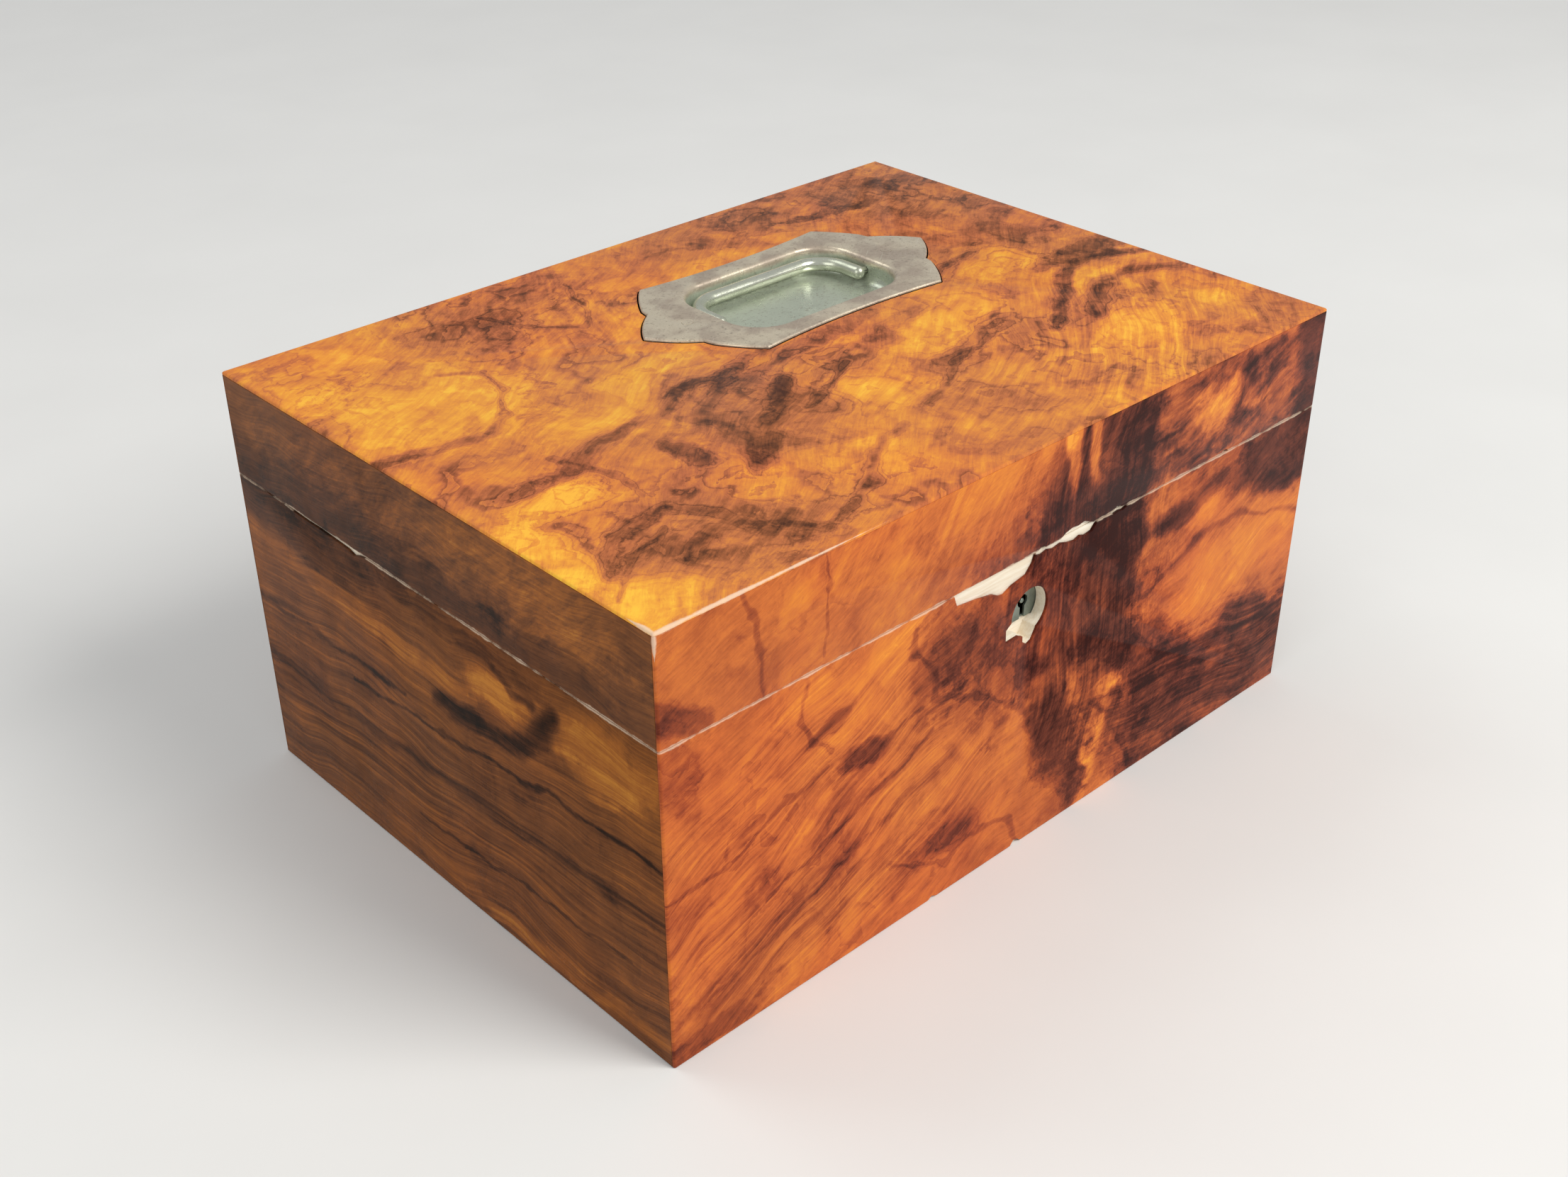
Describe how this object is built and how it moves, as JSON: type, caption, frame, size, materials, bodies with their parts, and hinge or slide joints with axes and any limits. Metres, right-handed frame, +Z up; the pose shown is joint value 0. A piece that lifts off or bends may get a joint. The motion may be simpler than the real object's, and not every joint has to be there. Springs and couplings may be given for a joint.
{
  "type": "sewing box",
  "caption": "Veneered wooden sewing box with a hinged lid, a flush drop handle, a link lock and a lift-out divided tray.",
  "frame": {"origin": "middle of the underside of the base, on the surface that the box stands on", "axes": "+X to the right along the front, +Y from the front (lock) to the back (hinges), +Z up"},
  "size_m": [0.3, 0.2205, 0.151],
  "materials": {
    "walnut_veneer": "glossy French polish over figured walnut",
    "carcass_wood": "plain sawn pine, sanded",
    "tray_wood": "satin mahogany",
    "handle_brass": "dull tarnished brass, rubbed on the edges",
    "hinge_brass": "satin brass",
    "lock_brass": "satin brass",
    "lock_steel": "dull steel",
    "screw_steel": "dull steel",
    "lining_silk": "padded silk",
    "lining_paper": "matt lining paper",
    "cushion_velvet": "velvet",
    "ribbon": "woven ribbon"
  },
  "bodies": {
    "base": {"base_front_board": "carcass_wood", "base_back_board": "carcass_wood", "base_left_board": "carcass_wood", "base_right_board": "carcass_wood", "bottom_board": "carcass_wood", "base_front_veneer": "walnut_veneer", "base_back_veneer": "walnut_veneer", "base_left_veneer": "walnut_veneer", "base_right_veneer": "walnut_veneer", "well_lining": "lining_paper", "left_tray_ledge": "tray_wood", "right_tray_ledge": "tray_wood", "lock_plate": "lock_brass", "lock_case": "lock_steel", "lock_drill_pin": "lock_steel", "lock_spring": "lock_steel", "lock_screws": "screw_steel", "left_hinge_lower_leaf": "hinge_brass", "right_hinge_lower_leaf": "hinge_brass", "left_hinge_pin": "hinge_brass", "right_hinge_pin": "hinge_brass", "lower_hinge_screws": "screw_steel"},
    "lid": {"lid_top_board": "carcass_wood", "lid_front_board": "carcass_wood", "lid_back_board": "carcass_wood", "lid_left_board": "carcass_wood", "lid_right_board": "carcass_wood", "lid_top_veneer": "walnut_veneer", "lid_front_veneer": "walnut_veneer", "lid_back_veneer": "walnut_veneer", "lid_left_veneer": "walnut_veneer", "lid_right_veneer": "walnut_veneer", "lid_lining_frame": "tray_wood", "lid_lining_pad": "lining_silk", "handle_plate": "handle_brass", "handle_pins": "handle_brass", "lock_link_plate": "lock_brass", "link_plate_screws": "screw_steel", "left_hinge_upper_leaf": "hinge_brass", "right_hinge_upper_leaf": "hinge_brass", "upper_hinge_screws": "screw_steel"},
    "handle": {"handle_bail": "handle_brass"},
    "bolt": {"lock_bolt": "lock_steel"},
    "tray": {"tray_front_wall": "tray_wood", "tray_back_wall": "tray_wood", "tray_left_wall": "tray_wood", "tray_right_wall": "tray_wood", "tray_floor": "tray_wood", "tray_long_dividers": "tray_wood", "tray_cross_dividers": "tray_wood", "pincushion": "cushion_velvet", "tray_tabs": "ribbon"}
  },
  "joints": [
    {"name": "lid_hinge", "type": "hinge", "parent": "base", "child": "lid", "pos_m": [0, 0.1095, 0.11315], "axis": [-1, 0, 0], "range_deg": [0, 100]},
    {"name": "handle_pivot", "type": "hinge", "parent": "lid", "child": "handle", "pos_m": [0.0306, 0.0328, 0.1463], "axis": [1, 0, 0], "range_deg": [0, 180]},
    {"name": "bolt_slide", "type": "slide", "parent": "base", "child": "bolt", "axis": [1, 0, 0], "range_m": [0, 0.005]},
    {"name": "tray_lift", "type": "slide", "parent": "base", "child": "tray", "axis": [0, 0, 1], "range_m": [0, 0.012]}
  ]
}
